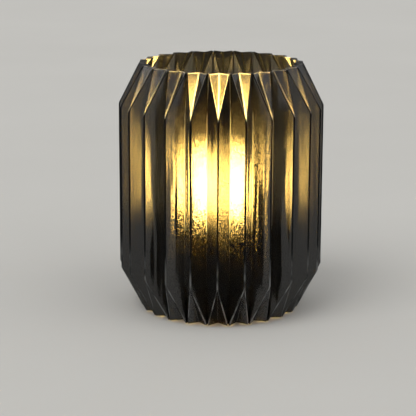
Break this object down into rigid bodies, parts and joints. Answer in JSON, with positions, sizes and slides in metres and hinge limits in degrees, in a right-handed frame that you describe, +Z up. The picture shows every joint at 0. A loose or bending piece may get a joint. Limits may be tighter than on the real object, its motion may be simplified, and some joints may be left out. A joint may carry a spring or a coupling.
{
  "type": "pleated table lamp",
  "caption": "Free-standing table lamp: a pleated drum shade open at the top, with folded-in rims, round an upright screw-in bulb on a weighted base.",
  "frame": {"origin": "on the table under the middle of the lamp", "axes": "+Z up along the lamp's axis, -Y towards the front, where one ridge of the shade lies"},
  "size_m": [0.201, 0.201, 0.244],
  "materials": {
    "smoked_film": "thin smoked film with a bronze metallised face, creased",
    "seam_tape": "strip of the same film",
    "black_steel": "fine black powder coat",
    "zinc_steel": "zinc plated",
    "black_plastic": "moulded thermoplastic",
    "black_rubber": "foamed anti-slip rubber",
    "white_ceramic": "unglazed steatite",
    "contact_brass": "plain brass",
    "nickel": "nickel plated shell",
    "opal": "opal diffuser",
    "white_plastic": "white heat-conducting plastic",
    "board_white": "white solder mask on aluminium",
    "phosphor": "yellow phosphor",
    "board_green": "circuit board",
    "insulator_glass": "black glass insulator"
  },
  "bodies": {
    "root": {"shade_panel_front": "smoked_film", "shade_panel_rear": "smoked_film", "seam_strips": "seam_tape", "base_pad": "black_rubber", "base_plate": "black_steel", "cable_grommet": "black_rubber", "threaded_tube": "zinc_steel", "lock_washer": "zinc_steel", "lock_nut": "zinc_steel", "stem_sleeve": "black_steel", "holder_cap": "black_plastic", "set_screw": "zinc_steel", "holder_insert": "white_ceramic", "terminal_screws": "contact_brass", "centre_contact": "contact_brass", "side_contact": "contact_brass", "thread_sleeve": "contact_brass", "holder_shell": "black_plastic", "shade_ring": "black_plastic", "carrier_hub": "black_steel", "carrier_arms": "black_steel", "carrier_ring": "black_steel"},
    "bulb": {"bulb_contact": "nickel", "bulb_insulator": "insulator_glass", "bulb_screw_shell": "nickel", "bulb_housing": "white_plastic", "bulb_globe": "opal", "led_board": "board_white", "led_chips": "phosphor", "driver_board": "board_green", "driver_capacitor": "insulator_glass"}
  },
  "joints": [
    {"name": "bulb_lift", "type": "slide", "parent": "root", "child": "bulb", "axis": [0, 0, 1], "range_m": [0, 0.205]}
  ]
}
